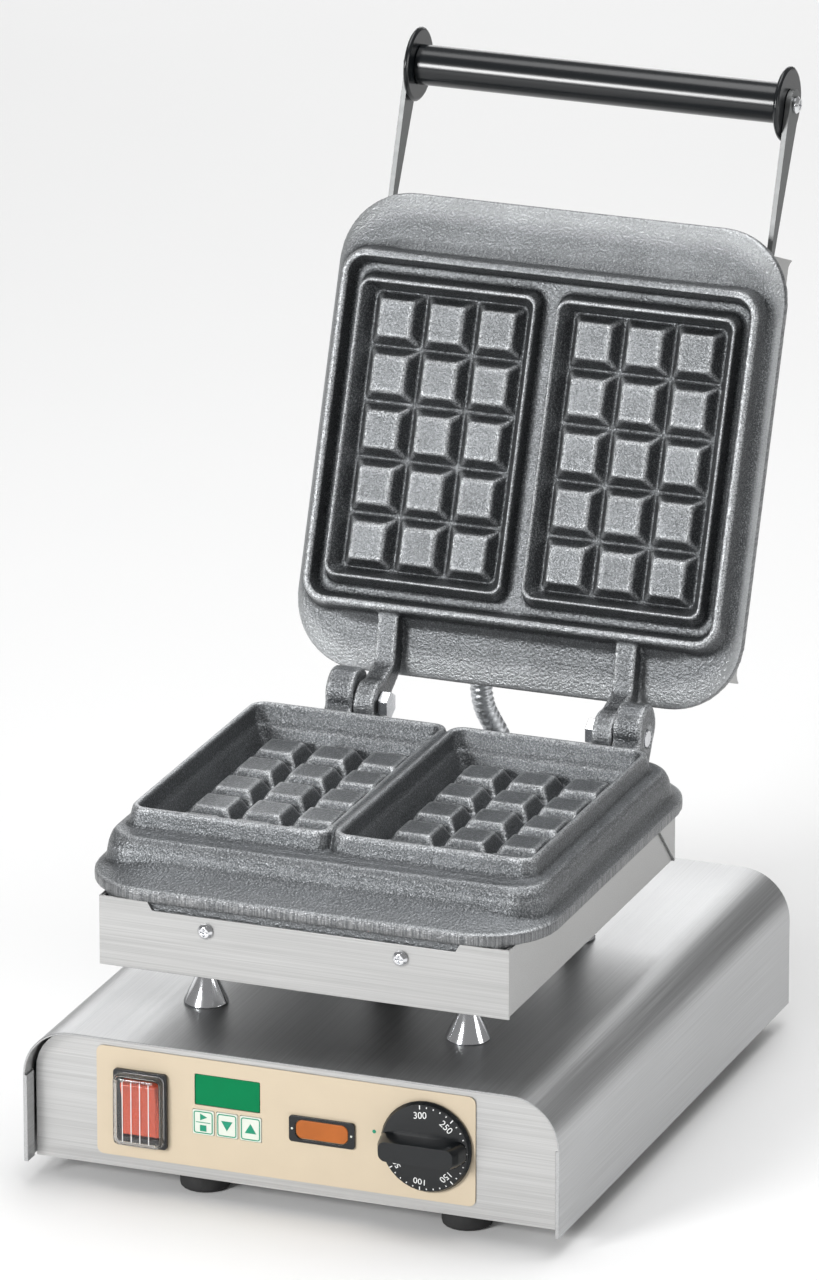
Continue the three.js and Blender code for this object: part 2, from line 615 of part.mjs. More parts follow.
function addLowerHousing() {
  const cone = [[0, 0], [12.7, 0], [12.7, 1], [6.2, 15], [5.6, 34.4], [0, 34.4]];
  for (const [place, y] of [["front", 73], ["rear", 242]]) {
    for (const [side, x] of [["left", -78.7], ["right", 78.7]]) {
      add(model, `spacer_${place}_${side}`, turned(cone, 24), CHROME).position.set(x, y, COVER_TOP + GAP);
    }
  }
  const lower = new THREE.Group();
  lower.position.set(0, PLATE_Y, PARTING_Z);
  model.add(lower);
  const leadHole = new THREE.CylinderGeometry(11.4, 11.4, 10, 20).rotateX(Math.PI / 2);
  leadHole.translate(0, 0, TRAY_DEPTH);
  add(lower, "lower_tray", tray(HOUSING_ENDS, leadHole), STEEL);
  add(lower, "lower_front_panel", endPanel(HOUSING_ENDS[0], screwClearance()), STEEL);
  const conduitHole = circleShape(CONDUIT.lowerX, CONDUIT.lowerZ - PARTING_Z, GLAND_RADIUS);
  add(lower, "lower_rear_panel", endPanel(HOUSING_ENDS[1], [...screwClearance(), conduitHole]), STEEL);
  add(lower, "lower_plate", lowerPlate(), IRON);
  add(lower, "lower_heater", element(), ZINC);
  addScrews(lower, "lower", HOUSING_ENDS);
  for (const side of [-1, 1]) {
    const name = side < 0 ? "hinge_bolt_left" : "hinge_bolt_right";
    add(model, name, hingeBolt(side), ZINC).position.set(side * 82, HINGE_Y, HINGE_Z);
  }
}

// ---- flexible conduit that carries the upper element's leads from the housing to the hood ----
function gland() {
  return turned([[0, -6], [7.8, -6], [7.8, GAP], [11.5, GAP], [11.5, 6], [9, 9], [0, 9]], 18);
}

function lidToWorld(x, y, z) {
  return lidPlate.localToWorld(new THREE.Vector3(x, y, z));
}

function addConduit() {
  add(model, "conduit_gland_lower", gland().rotateX(-Math.PI / 2), ZINC)
    .position.set(CONDUIT.lowerX, HOUSING_BACK, CONDUIT.lowerZ);
  add(lidPlate, "conduit_gland_upper", gland().rotateX(Math.PI / 2), ZINC)
    .position.set(CONDUIT.upperX, HOOD_HINGE_END, CONDUIT.upperLevel);
  const start = lidToWorld(CONDUIT.upperX, HOOD_HINGE_END - 9 - GAP, CONDUIT.upperLevel);
  const straight = lidToWorld(CONDUIT.upperX, HOOD_HINGE_END - 14, CONDUIT.upperLevel);
  const end = [CONDUIT.lowerX, HOUSING_BACK + 9 + GAP, CONDUIT.lowerZ];
  const route = [start.toArray(), straight.toArray(), [-27, 378, 174], [-21, 388, 152], [-12, 380, 134],
    [-2, 356, 130], [6, 330, 141], [CONDUIT.lowerX, HOUSING_BACK + 16, CONDUIT.lowerZ], end];
  add(model, "conduit", tube(route, CONDUIT.radius, 8, 30), ZINC);
}

// ---- lid: the upper plate, its hood and the bar handle ----
function addLid() {
  lid.position.set(0, HINGE_Y, HINGE_Z);
  lid.rotation.x = -OPEN_ANGLE;
  lidPlate.position.set(0, PLATE_Y - HINGE_Y, PARTING_Z + CLOSED_GAP - HINGE_Z);
  lidPlate.rotation.x = Math.PI;
  lid.add(lidPlate);
  model.add(lid);
  lid.updateMatrixWorld(true);
  add(lidPlate, "upper_plate", upperPlate(), IRON);
  add(lidPlate, "hood_shell", tray(HOOD_ENDS), STEEL);
  add(lidPlate, "hood_handle_panel", hoodHandlePanel(), STEEL);
  const conduitHole = circleShape(CONDUIT.upperX, CONDUIT.upperLevel, GLAND_RADIUS);
  add(lidPlate, "hood_hinge_panel", endPanel(HOOD_HINGE_END, [...screwClearance(), conduitHole]), STEEL);
  add(lidPlate, "upper_heater", element(), ZINC);
  addScrews(lidPlate, "upper", HOOD_ENDS);
}

function hoodHandlePanel() {
  const arms = [-1, 1].map((side) => {
    const x = side * (ARM.inner + ARM.thick / 2);
    const [y, reach] = [HOOD_HANDLE_END, ARM.halfWidth + 2 * GAP];
    return box(x - 2, x + 2, y - 10, y + 10, GRIP_LEVEL - reach, GRIP_LEVEL + reach);
  });
  return cut(endPanel(HOOD_HANDLE_END, screwClearance()), ...arms);
}

function handleArm(side) {
  const bar = new THREE.Shape();
  bar.moveTo(ARM.root, GRIP_LEVEL - ARM.halfWidth);
  bar.absarc(GRIP_REACH, GRIP_LEVEL, ARM.halfWidth, -Math.PI / 2, Math.PI / 2);
  bar.lineTo(ARM.root, GRIP_LEVEL + ARM.halfWidth);
  bar.holes.push(circleShape(GRIP_REACH, GRIP_LEVEL, 4.4));
  const x = side < 0 ? -ARM.inner - ARM.thick : ARM.inner;
  return extrudeX(bar, x, x + ARM.thick, 10);
}

// One through bolt holds the grip: a cross-slotted pan head on each end of a long shank.
function gripBolt() {
  const outer = ARM.inner + ARM.thick;
  const slot = join(box(-2.5, 2.5, -0.5, 0.5, 2, 5), box(-0.5, 0.5, -2.5, 2.5, 2, 5));
  const head = cut(turned([[0, -2], [4, -2], [4, GAP], [5, GAP], [5, 1.4], [3.6, 3], [0, 3.4]], 16), slot);
  const heads = [-1, 1].map((side) => head.clone().rotateY(side * Math.PI / 2).translate(side * outer, 0, 0));
  return join(rod(4, -outer + 1, outer - 1, 0, 0), ...heads);
}

function addHandle() {
  const handle = new THREE.Group();
  handle.position.set(0, GRIP_REACH, GRIP_LEVEL);
  lidPlate.add(handle);
  const sleeve = cut(rod(GRIP_RADIUS, -GRIP_HALF, GRIP_HALF, 0, 0, 32), rod(4.6, -130, 130, 0, 0));
  add(handle, "grip_tube", sleeve, BLACK);
  add(handle, "grip_bolt", gripBolt(), CHROME);
  for (const side of [-1, 1]) {
    const name = side < 0 ? "left" : "right";
    const disc = turned([[4.6, 0], [20.6, 0], [22, 1.2], [22, 2.2], [20.6, 3.2], [4.6, 3.2], [4.6, 0]], 32);
    disc.rotateY(Math.PI / 2 * side).translate(side * (GRIP_HALF + GAP), 0, 0);
    add(handle, `grip_disc_${name}`, disc, BLACK);
    add(lidPlate, `handle_arm_${name}`, handleArm(side), STEEL);
  }
}

addBase();
addControls();
addSupply();
addLowerHousing();
addLid();
addHandle();
addConduit();

// The origin is under the middle of the whole object, on the surface that it stands on.
model.updateMatrixWorld(true);
const extent = new THREE.Box3().setFromObject(model, true);
const middle = extent.getCenter(new THREE.Vector3());
model.position.set(-middle.x, -middle.y, -extent.min.z);

export default model;
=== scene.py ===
"""A tabletop waffle maker with two cast plates, standing open on a pale floor."""
import json
from math import atan2, cos, pi, radians, sin

import bmesh
import bpy
from mathutils import Matrix, Vector


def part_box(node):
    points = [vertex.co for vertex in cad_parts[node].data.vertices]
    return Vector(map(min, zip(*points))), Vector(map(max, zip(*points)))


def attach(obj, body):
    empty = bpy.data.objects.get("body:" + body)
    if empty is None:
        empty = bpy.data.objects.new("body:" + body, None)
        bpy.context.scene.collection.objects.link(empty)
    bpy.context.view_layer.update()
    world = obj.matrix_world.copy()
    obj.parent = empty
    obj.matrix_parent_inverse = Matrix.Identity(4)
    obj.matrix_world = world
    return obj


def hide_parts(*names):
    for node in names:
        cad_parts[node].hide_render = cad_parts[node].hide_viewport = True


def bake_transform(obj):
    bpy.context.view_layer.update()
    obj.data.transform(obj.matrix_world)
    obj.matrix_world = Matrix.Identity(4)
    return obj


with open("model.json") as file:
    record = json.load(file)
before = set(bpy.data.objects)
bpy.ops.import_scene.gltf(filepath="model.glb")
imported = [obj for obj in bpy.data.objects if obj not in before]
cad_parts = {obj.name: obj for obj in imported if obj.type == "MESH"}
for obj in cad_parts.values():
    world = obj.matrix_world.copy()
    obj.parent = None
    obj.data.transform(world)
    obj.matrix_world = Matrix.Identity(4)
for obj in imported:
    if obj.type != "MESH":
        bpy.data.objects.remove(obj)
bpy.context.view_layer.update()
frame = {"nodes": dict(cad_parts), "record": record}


# ---- Viewpoint, light and floor ----
# The machine stands on a plain pale floor in a bright studio. The camera looks down on its
# front from the right, through a long lens, between four large soft lamps.
camera_data = bpy.data.cameras.new("camera")
camera_data.sensor_fit = "HORIZONTAL"
camera_data.sensor_width = 36
camera_data.lens = 485.9
camera_data.clip_end = 50
camera = bpy.data.objects.new("camera", camera_data)
camera.location = (2.10858, -5.54869, 2.34015)
camera.rotation_euler = (radians(70.67), 0, radians(21.05))
bpy.context.scene.collection.objects.link(camera)
bpy.context.scene.camera = camera

LAMP_TARGET = Vector((0, 0, 0.25))


def soft_lamp(name, place, width, height, watts):
    """A rectangular lamp turned towards the middle of the machine."""
    lamp = bpy.data.lights.new(name, "AREA")
    lamp.shape = "RECTANGLE"
    lamp.size = width
    lamp.size_y = height
    lamp.energy = watts
    lamp_object = bpy.data.objects.new(name, lamp)
    lamp_object.location = place
    lamp_object.rotation_euler = (LAMP_TARGET - Vector(place)).to_track_quat("-Z", "Y").to_euler()
    bpy.context.scene.collection.objects.link(lamp_object)


soft_lamp("lamp_front_left", (-1.3, -3.0, 1.3), width=0.9, height=0.9, watts=84)
soft_lamp("lamp_top", (0.2, 0.3, 2.6), width=2.2, height=2.2, watts=52)
soft_lamp("lamp_back", (-1.0, 3.0, 1.2), width=2.6, height=1.4, watts=22)
soft_lamp("lamp_right", (2.6, -0.2, 0.7), width=0.9, height=1.2, watts=10)

world = bpy.data.worlds.new("studio")
world.use_nodes = True
studio_light = world.node_tree.nodes["Background"]
studio_light.inputs["Color"].default_value = (1, 1, 1, 1)
studio_light.inputs["Strength"].default_value = 0.27
bpy.context.scene.world = world
bpy.context.scene.view_settings.view_transform = "Standard"


class Finish:
    """A material whose nodes are added and joined one line at a time."""

    def __init__(self, name, **sockets):
        self.material = bpy.data.materials.new(name)
        self.material.use_nodes = True
        self.tree = self.material.node_tree
        self.shader = self.tree.nodes["Principled BSDF"]
        for socket, value in sockets.items():
            self.shader.inputs[socket.replace("_", " ")].default_value = value

    def node(self, kind, sockets, **settings):
        """A node whose sockets are joined to other nodes, or set to plain values."""
        made = self.tree.nodes.new("ShaderNode" + kind)
        for setting, value in settings.items():
            setattr(made, setting, value)
        for socket, value in sockets.items():
            if isinstance(value, bpy.types.NodeSocket):
                self.tree.links.new(value, made.inputs[socket])
            else:
                made.inputs[socket].default_value = value
        return made

    def noise(self, scale, detail=3, stretch=(1, 1, 1)):
        """Cloudy variation from 0 to 1 through the piece, with so many cells to the metre."""
        spot = self.node("TexCoord", {}).outputs["Object"]
        placed = self.node("Mapping", {"Vector": spot, "Scale": stretch}).outputs["Vector"]
        return self.node("TexNoise", {"Vector": placed, "Scale": scale, "Detail": detail}).outputs["Fac"]

    def spread(self, value, low, high, to_low, to_high):
        """The range low to high stretched over another range, and held at its ends."""
        sockets = {"Value": value, "From Min": low, "From Max": high, "To Min": to_low, "To Max": to_high}
        return self.node("MapRange", sockets).outputs["Result"]

    def combine(self, operation, *values):
        """A sum, a product or the like of two or three values."""
        return self.node("Math", dict(enumerate(values)), operation=operation).outputs[0]

    def along(self, vector, direction):
        """How far a vector reaches in a direction."""
        return self.node("VectorMath", {0: vector, 1: direction}, operation="DOT_PRODUCT").outputs["Value"]

    def blend(self, factor, first, second):
        """A colour between two colours, each one plain or from another node."""
        mixed = self.node("Mix", {}, data_type="RGBA")
        self.tree.links.new(factor, mixed.inputs["Factor"])
        for socket, value in ((mixed.inputs[6], first), (mixed.inputs[7], second)):
            if isinstance(value, bpy.types.NodeSocket):
                self.tree.links.new(value, socket)
            else:
                socket.default_value = (*value, 1)
        return mixed.outputs[2]

    def drive(self, socket, value):
        self.tree.links.new(value, self.shader.inputs[socket])

    def bump(self, height, strength, depth):
        sockets = {"Height": height, "Strength": strength, "Distance": depth}
        self.drive("Normal", self.node("Bump", sockets).outputs["Normal"])


FLOOR_HALF_WIDTH = 15
floor_finish = Finish("pale_floor", Roughness=0.9)
floor_finish.drive("Base Color", floor_finish.blend(
    floor_finish.noise(3), (0.87, 0.87, 0.87), (0.85, 0.85, 0.85)))
floor_shape = bmesh.new()
bmesh.ops.create_grid(floor_shape, x_segments=1, y_segments=1, size=FLOOR_HALF_WIDTH)
floor_mesh = bpy.data.meshes.new("floor")
floor_shape.to_mesh(floor_mesh)
floor_shape.free()
floor_mesh.materials.append(floor_finish.material)
floor = bpy.data.objects.new("floor", floor_mesh)
bpy.context.scene.collection.objects.link(floor)


# ---- Base: folded steel cover, its two end panels and the bottom plate ----
# The cover is one stainless sheet, brushed from front to back and bent down over both sides.
# The two end panels and the bottom plate are brushed across.
RECORD = frame["record"]
BODY_OF = {node: body for body, nodes in RECORD["behaviour"]["bodies"].items() for node in nodes}
SCRATCHES = 1500
ALONG_SCRATCHES = 9
LENGTHWISE = (SCRATCHES, ALONG_SCRATCHES, SCRATCHES)
CROSSWISE = (ALONG_SCRATCHES, SCRATCHES, SCRATCHES)


def brushed_steel(name, tone, roughness, stretch):
    """Metal with fine scratches, stretched out along the axis with the fewest cells to the metre."""
    finish = Finish(name, Metallic=1.0)
    scratches = finish.noise(1, 4, stretch)
    bright = tuple(min(1, value * 1.08) for value in tone)
    dark = tuple(value * 0.86 for value in tone)
    finish.drive("Base Color", finish.blend(finish.spread(scratches, 0.3, 0.7, 0, 1), dark, bright))
    handled = finish.spread(finish.noise(9, 2), 0.3, 0.7, -0.03, 0.04)
    streaks = finish.spread(scratches, 0.25, 0.75, roughness - 0.05, roughness + 0.06)
    finish.drive("Roughness", finish.combine("ADD", handled, streaks))
    waves = finish.noise(1, 2, tuple(value * 0.03 + 0.6 for value in stretch))
    finish.bump(finish.combine("MULTIPLY_ADD", waves, 12.0, scratches), 0.14, 0.0002)
    return finish.material


def place_object(name, mesh, body, replaced=()):
    """Puts a finished mesh in the scene on its body, in place of the CAD nodes it stands for."""
    made = bpy.data.objects.new(name, mesh)
    bpy.context.scene.collection.objects.link(made)
    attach(made, body)
    if replaced:
        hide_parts(*replaced)
    return made


def merged_copy(node):
    """A CAD node's loose triangles, joined into one skin."""
    shape = bmesh.new()
    shape.from_mesh(frame["nodes"][node].data)
    bmesh.ops.remove_doubles(shape, verts=shape.verts, dist=2e-6)
    return shape


def as_mesh(name, shape, *materials):
    mesh = bpy.data.meshes.new(name)
    shape.to_mesh(mesh)
    shape.free()
    for material in materials:
        mesh.materials.append(material)
    return mesh


def shade(mesh, crease):
    """Smooth shading that breaks where two faces meet at more than the crease, in degrees."""
    mesh.shade_smooth()
    mesh.set_sharp_from_angle(angle=radians(crease))


def refined(node, material, edge, steps=1):
    """A copy of a CAD node with its flat faces joined up and its corners eased by the edge width."""
    shape = merged_copy(node)
    bmesh.ops.dissolve_limit(shape, angle_limit=radians(0.6), verts=shape.verts, edges=shape.edges)
    mesh = as_mesh(node + "_mesh", shape, material)
    shade(mesh, 40)
    piece = place_object(node + "_piece", mesh, BODY_OF[node], [node])
    if edge:
        bevel = piece.modifiers.new("eased_edges", "BEVEL")
        bevel.limit_method = "ANGLE"
        bevel.angle_limit = radians(30)
        bevel.width = edge
        bevel.segments = steps
        bevel.use_clamp_overlap = True
        bevel.miter_outer = "MITER_ARC"
        weighted = piece.modifiers.new("even_shading", "WEIGHTED_NORMAL")
        weighted.keep_sharp = True


STEEL_LENGTHWISE = brushed_steel("steel_brushed_lengthwise", (0.53, 0.535, 0.54), 0.38, LENGTHWISE)
STEEL_CROSSWISE = brushed_steel("steel_brushed_crosswise", (0.58, 0.58, 0.575), 0.42, CROSSWISE)
refined("base_cover", STEEL_LENGTHWISE, edge=0.0003)
for node in ("front_panel", "rear_panel", "base_plate"):
    refined(node, STEEL_CROSSWISE, edge=0.0003)


# ---- Rubber feet ----
# Four discs of black rubber under the bottom plate, moulded with a rounded rim. They grip the
# table and hold the base a little above it.
def rubber(name):
    finish = Finish(name, Roughness=0.75)
    finish.drive("Base Color", finish.blend(finish.noise(180), (0.012, 0.012, 0.013), (0.03, 0.03, 0.03)))
    finish.bump(finish.noise(1400, 2), 0.25, 0.0002)
    return finish.material


CORNERS = ("front_left", "front_right", "rear_left", "rear_right")
RUBBER = rubber("black_rubber")
for corner in CORNERS:
    refined("foot_" + corner, RUBBER, edge=0.001, steps=3)


# ---- Control overlay, display and keys ----
# A cream printed foil is stuck on the front panel, over a green display window and three small
# keys. Each key is printed with a green border and a symbol.
PRINT_DEPTH = 0.0003
PRINT_LIFT = 0.00012
BORDER_INSET = 0.0007
BORDER_WIDTH = 0.0006
ARROW_HALF_WIDTH = 0.0034
ARROW_TIP = 0.0032
START_TRIANGLE = ((-0.0018, 0.0012), (0.0024, 0.0032), (-0.0018, 0.0052))
STOP_SQUARE = {"z": -0.0034, "width": 0.0038, "height": 0.0036}
DIVIDER = {"z": 0, "width": 0.0086, "height": 0.0004}


def plastic(name, color, roughness, mottle=0.06, grain=0.05, **sockets):
    """A moulded or printed plastic, with a slight mottle in its colour and a fine grain."""
    finish = Finish(name, Roughness=roughness, **sockets)
    light = tuple(min(1, value * (1 + mottle)) for value in color)
    dark = tuple(value * (1 - mottle) for value in color)
    finish.drive("Base Color", finish.blend(finish.noise(60), dark, light))
    finish.bump(finish.noise(2200, 2), grain, 0.0001)
    return finish.material


def flat_shape(outline, front_y, thickness):
    """A thin plate in the X-Z plane whose front face stands at front_y."""
    shape = bmesh.new()
    ring = [shape.verts.new((x, front_y + thickness, z)) for x, z in outline]
    face = shape.faces.new(ring)
    pushed = bmesh.ops.extrude_face_region(shape, geom=[face])
    moved = [item for item in pushed["geom"] if isinstance(item, bmesh.types.BMVert)]
    bmesh.ops.translate(shape, verts=moved, vec=(0, -thickness, 0))
    bmesh.ops.recalc_face_normals(shape, faces=shape.faces)
    return shape


def ring_plate(low, high, border, front_y, thickness):
    """A thin rectangular frame with round corners, between two corners given as (x, z)."""
    outline = [low, (high[0], low[1]), high, (low[0], high[1])]
    shape = flat_shape(outline, front_y, thickness)
    corners = [edge for edge in shape.edges if abs(edge.verts[0].co.y - edge.verts[1].co.y) > 1e-6]
    bmesh.ops.bevel(shape, geom=corners, offset=border * 2.5, segments=4, affect="EDGES",
                    profile=0.5, material=-1)
    caps = [face for face in shape.faces if abs(face.normal.y) > 0.9]
    bmesh.ops.inset_region(shape, faces=caps, thickness=border)
    inner = [face for face in caps if face.is_valid]
    bmesh.ops.delete(shape, geom=inner, context="FACES_ONLY")
    bmesh.ops.bridge_loops(shape, edges=[edge for edge in shape.edges if edge.is_boundary])
    bmesh.ops.recalc_face_normals(shape, faces=shape.faces)
    return shape


def add_block(shape, place, size):
    bmesh.ops.create_cube(shape, size=1, matrix=Matrix.LocRotScale(Vector(place), None, Vector(size)))


def add_piece(name, shape, material, body, crease=35):
    """A piece that the CAD doesn't have, such as a print or a rivet."""
    mesh = as_mesh(name + "_mesh", shape, material)
    shade(mesh, crease)
    place_object(name, mesh, body)


def middle(low, high, axis):
    return (low[axis] + high[axis]) / 2


def arrow(tip):
    """A triangle round the middle of a key, pointing up or, with a negative tip, down."""
    return ((-ARROW_HALF_WIDTH, -0.8 * tip), (ARROW_HALF_WIDTH, -0.8 * tip), (0, tip))


CREAM = plastic("cream_foil", (0.63, 0.53, 0.39), 0.45, mottle=0.03, grain=0.08)
GREEN_LENS = plastic("green_lens", (0.0, 0.2, 0.07), 0.3, mottle=0.1, grain=0.02, Specular_IOR_Level=0.12)
KEY_WHITE = plastic("key_white", (0.72, 0.76, 0.68), 0.4, mottle=0.03)
KEY_GREEN = plastic("key_green", (0.0, 0.27, 0.15), 0.4, mottle=0.05)
refined("control_overlay", CREAM, edge=0.0001)
refined("display_window", GREEN_LENS, edge=0.0002, steps=2)
for node, triangle in (
    ("key_start_stop", START_TRIANGLE),
    ("key_down", arrow(-ARROW_TIP)),
    ("key_up", arrow(ARROW_TIP)),
):
    refined(node, KEY_WHITE, edge=0.0004, steps=2)
    low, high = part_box(node)
    face = low[1]
    border_shape = ring_plate((low[0] + BORDER_INSET, low[2] + BORDER_INSET),
                              (high[0] - BORDER_INSET, high[2] - BORDER_INSET),
                              BORDER_WIDTH, face - PRINT_LIFT, PRINT_DEPTH)
    add_piece(node + "_border", border_shape, KEY_GREEN, BODY_OF[node])
    middle_x = middle(low, high, 0)
    middle_z = middle(low, high, 2)
    outline = [(middle_x + x, middle_z + z) for x, z in triangle]
    symbol = flat_shape(outline, face - PRINT_LIFT, PRINT_DEPTH)
    if node == "key_start_stop":
        for mark in (STOP_SQUARE, DIVIDER):
            add_block(symbol, (middle_x, face, middle_z + mark["z"]),
                      (mark["width"], PRINT_DEPTH, mark["height"]))
    add_piece(node + "_symbol", symbol, KEY_GREEN, BODY_OF[node])


# ---- Rocker switch ----
# A black bezel snapped into the panel holds a translucent red rocker. A clear ribbed cap over
# both keeps batter out; its ribs are coloured light grey as painted highlight streaks.
RIB_SIZE = (0.0005, 0.0004, 0.036)
RIB_PLACES = (-0.75, -0.25, 0.25, 0.75)
RIB_SPREAD = 0.0105
RIB_SINK = 0.00005

BLACK_SATIN = plastic("black_satin", (0.02, 0.021, 0.023), 0.38, mottle=0.1, grain=0.12)
# The rocker's faint red emission is a painted glow.
ROCKER_RED = plastic("rocker_red", (0.75, 0.1, 0.04), 0.2, mottle=0.12, grain=0.02, Coat_Weight=0.4,
                     Emission_Color=(0.9, 0.1, 0.03, 1), Emission_Strength=0.08)
CLEAR = Finish("clear_cap", Base_Color=(0.95, 0.95, 0.95, 1), Transmission_Weight=1.0, IOR=1.4)
CLEAR.drive("Roughness", CLEAR.spread(CLEAR.noise(120), 0.3, 0.7, 0.04, 0.14))
# The ribs are real relief on the clear cap; their opaque light grey colour is a painted highlight.
RIB_PAINTED_HIGHLIGHT = plastic("cap_rib", (0.8, 0.8, 0.79), 0.3, mottle=0.04)
refined("switch_housing", BLACK_SATIN, edge=0.0006, steps=2)
refined("switch_rocker", ROCKER_RED, edge=0.0006, steps=2)
refined("switch_splash_cap", CLEAR.material, edge=0.0005, steps=2)
cap_low, cap_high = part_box("switch_splash_cap")
ribs = bmesh.new()
for part in RIB_PLACES:
    add_block(ribs, (middle(cap_low, cap_high, 0) + part * RIB_SPREAD, cap_low[1] + RIB_SINK,
                     middle(cap_low, cap_high, 2)), RIB_SIZE)
add_piece("splash_cap_ribs", ribs, RIB_PAINTED_HIGHLIGHT, "base", crease=60)


# ---- Badge ----
# A black moulded frame is held on the foil by two small rivets. Its oval inlay is amber resin
# and has no lettering.
RIVET_RADIUS = 0.0007
RIVET_INSET = 0.0019
RIVET_FLATTENING = Matrix.Diagonal((1, 0.4, 1, 1))

BLACK_GLOSS = plastic("black_gloss", (0.006, 0.0075, 0.009), 0.22, mottle=0.1, grain=0.02)
AMBER = plastic("amber_inlay", (0.44, 0.12, 0.02), 0.35, mottle=0.3, grain=0.05, Specular_IOR_Level=0.3)
refined("badge_frame", BLACK_GLOSS, edge=0.0004, steps=2)
refined("badge_inlay", AMBER, edge=0.0003, steps=2)
badge_low, badge_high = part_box("badge_frame")
rivets = bmesh.new()
for x in (badge_low[0] + RIVET_INSET, badge_high[0] - RIVET_INSET):
    place = Matrix.Translation((x, badge_low[1], middle(badge_low, badge_high, 2)))
    bmesh.ops.create_uvsphere(rivets, u_segments=16, v_segments=8, radius=RIVET_RADIUS,
                              matrix=place @ RIVET_FLATTENING)
add_piece("badge_rivets", rivets, KEY_WHITE, "base")


# ---- Thermostat knob ----
# A black moulded knob is pressed on the thermostat's shaft. Ticks and temperatures are printed
# in white round its skirt, and a green dot on the foil marks the setting.
WHITE_PRINT = plastic("white_print", (0.85, 0.86, 0.85), 0.5, mottle=0.02)
ZINC = brushed_steel("zinc_plate", (0.56, 0.58, 0.6), 0.34, (300, 300, 300))
refined("thermostat_knob", BLACK_GLOSS, edge=0.0006, steps=2)
refined("thermostat_shaft", ZINC, edge=0.0003)

shaft_low, shaft_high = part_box("thermostat_shaft")
AXIS = Vector((middle(shaft_low, shaft_high, 0), 0, middle(shaft_low, shaft_high, 2)))
SKIRT_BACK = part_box("thermostat_knob")[1][1]
RIM_RADIUS = 0.0256
RIM_HEIGHT = 0.0034
STEP_RADIUS = 0.017
STEP_HEIGHT = 0.0052
INK_HEIGHT = 0.00004
TEMPERATURES = ("300", "250", "200", "150", "100", "50")
FIRST_MARK = radians(-7)
MARK_STEP = radians(48.5)
DIGIT_SIZE = 0.0054
DIGIT_RADIUS = 0.0196
UNIT_SIZE = 0.0042
UNIT_RADIUS = 0.0225
UNIT_ANGLE = radians(-82)
TICKS_PER_MARK = 5
TICK_RADIUS = 0.0242
TICK_WIDTH = 0.0006
TICK_DEPTH = 0.0002
LONG_TICK = 0.0022
SHORT_TICK = 0.0009
DOT_RADIUS = 0.0011
DOT_DEPTH = 0.0002
DOT_OFFSET = (-0.0315, 0.004)


def skirt_height(radius):
    """How far the front of the knob's skirt stands from its back at a radius."""
    inwards = (RIM_RADIUS - radius) / (RIM_RADIUS - STEP_RADIUS)
    return RIM_HEIGHT + inwards * (STEP_HEIGHT - RIM_HEIGHT)


def print_on_skirt(shape, angle, radius):
    """Adds a shape drawn flat in X-Z to the dial's print, on the skirt and facing outwards."""
    slope = atan2(STEP_HEIGHT - RIM_HEIGHT, RIM_RADIUS - STEP_RADIUS)
    turn = Matrix.Rotation(angle, 4, "Y")
    spot = Matrix.Translation(Vector((0, SKIRT_BACK - skirt_height(radius) - INK_HEIGHT, radius)))
    tilt = Matrix.Rotation(-slope, 4, "X")
    shape.transform(Matrix.Translation(AXIS) @ turn @ spot @ tilt)
    mesh = as_mesh("print", shape)
    dial_print.from_mesh(mesh)
    bpy.data.meshes.remove(mesh)


def lettering(text, size):
    """Digits drawn upright in X-Z, facing -Y, and centred on the origin."""
    curve = bpy.data.curves.new("digits", "FONT")
    curve.body = text
    curve.size = size
    curve.extrude = 0.0001
    curve.align_x = "CENTER"
    curve.align_y = "CENTER"
    holder = bpy.data.objects.new("digits", curve)
    mesh = bpy.data.meshes.new_from_object(holder)
    shape = bmesh.new()
    shape.from_mesh(mesh)
    bpy.data.objects.remove(holder)
    bpy.data.curves.remove(curve)
    bpy.data.meshes.remove(mesh)
    bmesh.ops.remove_doubles(shape, verts=shape.verts, dist=1e-6)
    shape.transform(Matrix.Rotation(pi / 2, 4, "X"))
    return shape


def tick(length):
    shape = bmesh.new()
    bmesh.ops.create_cube(shape, size=1, matrix=Matrix.Diagonal((TICK_WIDTH, TICK_DEPTH, length, 1)))
    return shape


dial_print = bmesh.new()
for number, text in enumerate(TEMPERATURES):
    angle = FIRST_MARK + number * MARK_STEP
    print_on_skirt(lettering(text, DIGIT_SIZE), angle, DIGIT_RADIUS)
    print_on_skirt(tick(LONG_TICK), angle, TICK_RADIUS)
    if number < len(TEMPERATURES) - 1:
        for part in range(1, TICKS_PER_MARK):
            print_on_skirt(tick(SHORT_TICK), angle + part * MARK_STEP / TICKS_PER_MARK, TICK_RADIUS)
print_on_skirt(lettering("C", UNIT_SIZE), UNIT_ANGLE, UNIT_RADIUS)
add_piece("dial_print", dial_print, WHITE_PRINT, "dial", crease=60)

foil_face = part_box("control_overlay")[0][1]
dot_place = Matrix.Translation((AXIS.x + DOT_OFFSET[0], foil_face - DOT_DEPTH / 2, AXIS.z + DOT_OFFSET[1]))
dot = bmesh.new()
bmesh.ops.create_circle(dot, cap_ends=True, segments=20, radius=DOT_RADIUS,
                        matrix=dot_place @ Matrix.Rotation(pi / 2, 4, "X"))
bmesh.ops.solidify(dot, geom=dot.faces[:], thickness=DOT_DEPTH)
add_piece("index_dot", dot, KEY_GREEN, "base")


